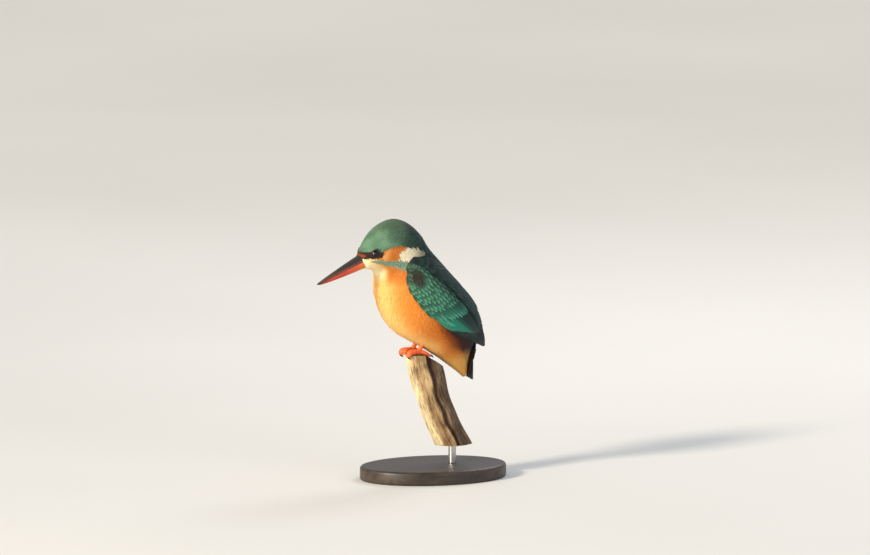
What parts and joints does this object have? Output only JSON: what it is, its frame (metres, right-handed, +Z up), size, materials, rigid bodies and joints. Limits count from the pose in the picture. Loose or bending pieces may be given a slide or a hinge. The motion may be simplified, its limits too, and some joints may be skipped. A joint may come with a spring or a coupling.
{
  "type": "bird model",
  "caption": "Common kingfisher perched on a short cut stem, head turned to its left, on a plain oval display stand.",
  "frame": {"origin": "centre of the stand base's flat underside", "axes": "+Z up; -Y is the way the bird's body faces; +X is the bird's left"},
  "size_m": [0.074, 0.1382, 0.174],
  "materials": {
    "plumage_crown": "matt barred blue-green feathers",
    "plumage_rufous": "matt orange-rufous feathers",
    "plumage_wing": "satin dark green-blue feathers",
    "plumage_tail": "satin dark blue feathers",
    "bill_upper": "satin dark horn",
    "bill_lower": "satin red horn",
    "eye": "polished dark brown",
    "foot": "scaled orange-red skin",
    "perch_wood": "weathered bare stem",
    "stand_base": "dark stained, satin",
    "stand_rod": "brushed"
  },
  "bodies": {
    "root": {"head": "plumage_crown", "neck": "plumage_rufous", "torso": "plumage_rufous", "tail": "plumage_tail", "wing_left": "plumage_wing", "wing_right": "plumage_wing", "bill_upper": "bill_upper", "bill_lower": "bill_lower", "eye_left": "eye", "eye_right": "eye", "leg_left": "foot", "leg_right": "foot", "perch": "perch_wood", "stand_base": "stand_base", "stand_rod": "stand_rod"}
  },
  "joints": []
}
